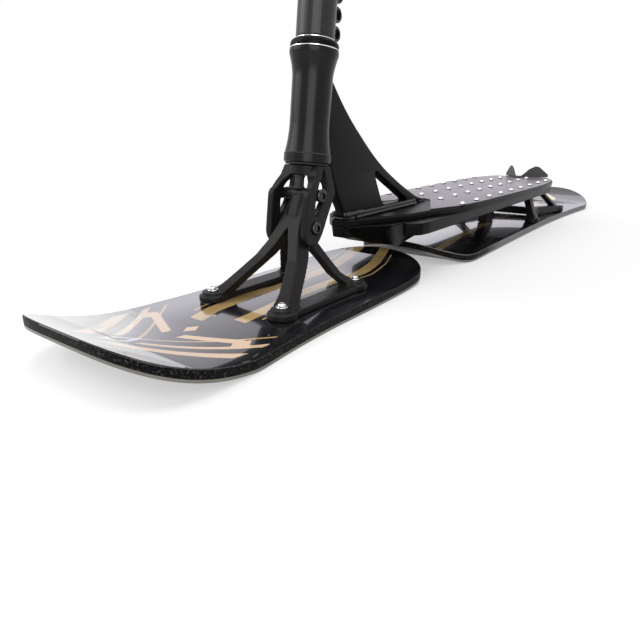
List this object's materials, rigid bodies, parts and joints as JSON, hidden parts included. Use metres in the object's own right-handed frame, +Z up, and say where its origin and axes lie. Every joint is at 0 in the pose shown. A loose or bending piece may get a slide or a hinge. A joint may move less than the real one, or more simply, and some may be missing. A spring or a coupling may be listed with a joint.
{
  "type": "snow scooter",
  "caption": "Snow scooter: a studded deck on a rear ski and a steered fork on a front ski, turned by a T handlebar about a raked head tube.",
  "frame": {"origin": "on the snow, under the middle of the whole scooter's length and width", "axes": "+X forward, +Y to the rider's left, +Z up; the steering axis leans back 7 degrees and meets the snow at x = 0.3815 m"},
  "size_m": [1.301, 0.56, 0.8908],
  "materials": {
    "black_coat": "satin",
    "deck_sheet": "satin",
    "ski_top": "gloss",
    "ski_base": "matte",
    "ski_edge": "brushed",
    "steel": "satin",
    "bright_ring": "polished",
    "rubber": "matte",
    "end_plug": "matte"
  },
  "bodies": {
    "frame": {"deck_plate": "black_coat", "left_deck_rail": "black_coat", "right_deck_rail": "black_coat", "grip_sheet": "deck_sheet", "down_tube": "black_coat", "weld_rib": "black_coat", "front_keel": "black_coat", "tail_stop": "black_coat", "head_tube": "black_coat", "lower_bearing": "steel", "upper_bearing": "steel", "headset_trim_ring": "bright_ring", "rear_truck": "black_coat", "rear_ski": "ski_top", "rear_ski_base": "ski_base", "rear_ski_edge": "ski_edge", "rear_ski_bolt_front_left": "steel", "rear_ski_bolt_front_right": "steel", "rear_ski_bolt_rear_left": "steel", "rear_ski_bolt_rear_right": "steel"},
    "steering": {"fork": "black_coat", "crown_race": "steel", "compression_ring": "steel", "headset_cap": "black_coat", "headset_spacer": "bright_ring", "steerer_shim": "steel", "star_nut": "steel", "compression_bolt": "black_coat", "bar_clamp": "black_coat", "clamp_bolt_1": "black_coat", "clamp_bolt_2": "black_coat", "clamp_bolt_3": "black_coat", "clamp_bolt_4": "black_coat", "handlebar": "black_coat", "left_grip": "rubber", "right_grip": "rubber", "left_bar_end": "end_plug", "right_bar_end": "end_plug", "fork_bolt_upper": "steel", "fork_nut_upper": "black_coat", "fork_bolt_lower": "steel", "fork_nut_lower": "black_coat", "fork_bumper": "rubber", "front_truck": "black_coat", "front_ski_bolt_front_left": "steel", "front_ski_bolt_front_right": "steel", "front_ski_bolt_rear_left": "steel", "front_ski_bolt_rear_right": "steel", "front_ski_bolt_washer_front_left": "steel", "front_ski_bolt_washer_front_right": "steel", "front_ski_bolt_washer_rear_left": "steel", "front_ski_bolt_washer_rear_right": "steel", "front_ski": "ski_top", "front_ski_base": "ski_base", "front_ski_edge": "ski_edge"}
  },
  "joints": [
    {"name": "headset", "type": "hinge", "parent": "frame", "child": "steering", "pos_m": [0.3815, 0, 0], "axis": [-0.1219, 0, 0.9925], "range_deg": [-120, 120]}
  ]
}
